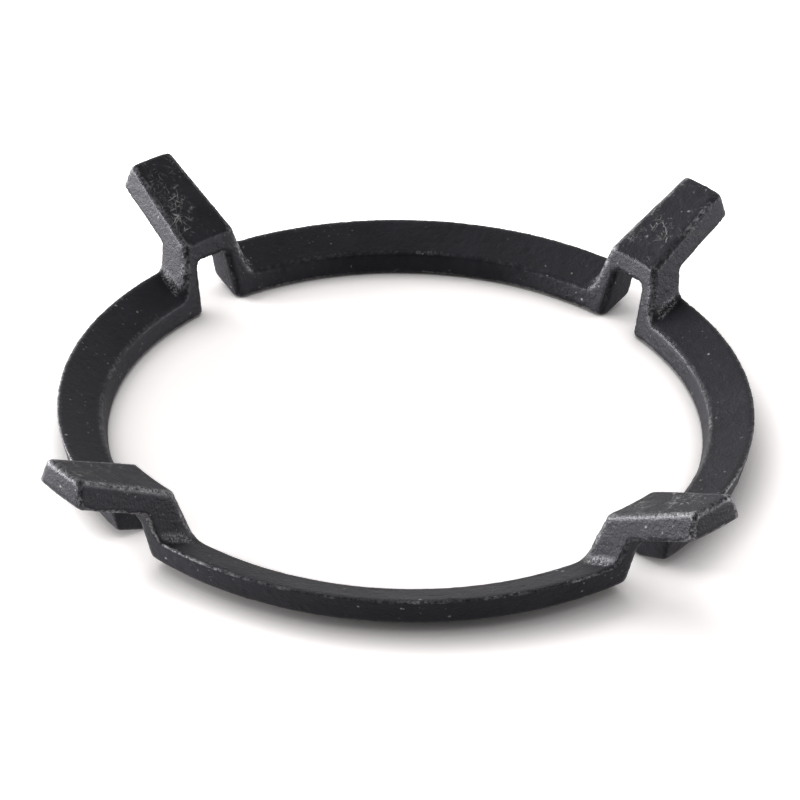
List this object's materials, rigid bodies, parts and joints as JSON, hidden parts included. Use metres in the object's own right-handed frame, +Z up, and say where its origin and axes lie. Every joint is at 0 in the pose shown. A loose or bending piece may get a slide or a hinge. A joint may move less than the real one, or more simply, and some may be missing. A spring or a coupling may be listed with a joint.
{
  "type": "wok ring",
  "caption": "Cast-iron ring with upswept arms that steadies a round-bottomed wok on a gas hob; notches under the arms drop over the pan support's fingers.",
  "frame": {"origin": "centre of the ring, on the plane of the foot that it stands on", "axes": "+Z up, along the ring's axis; +X and +Y each along one arm, so the arms lie on the X and Y axes"},
  "size_m": [0.2166, 0.2166, 0.0332],
  "materials": {
    "cast_iron": "blackened casting with a satin sheen, worn lighter on its edges"
  },
  "bodies": {
    "root": {"wok_ring": "cast_iron"}
  },
  "joints": []
}
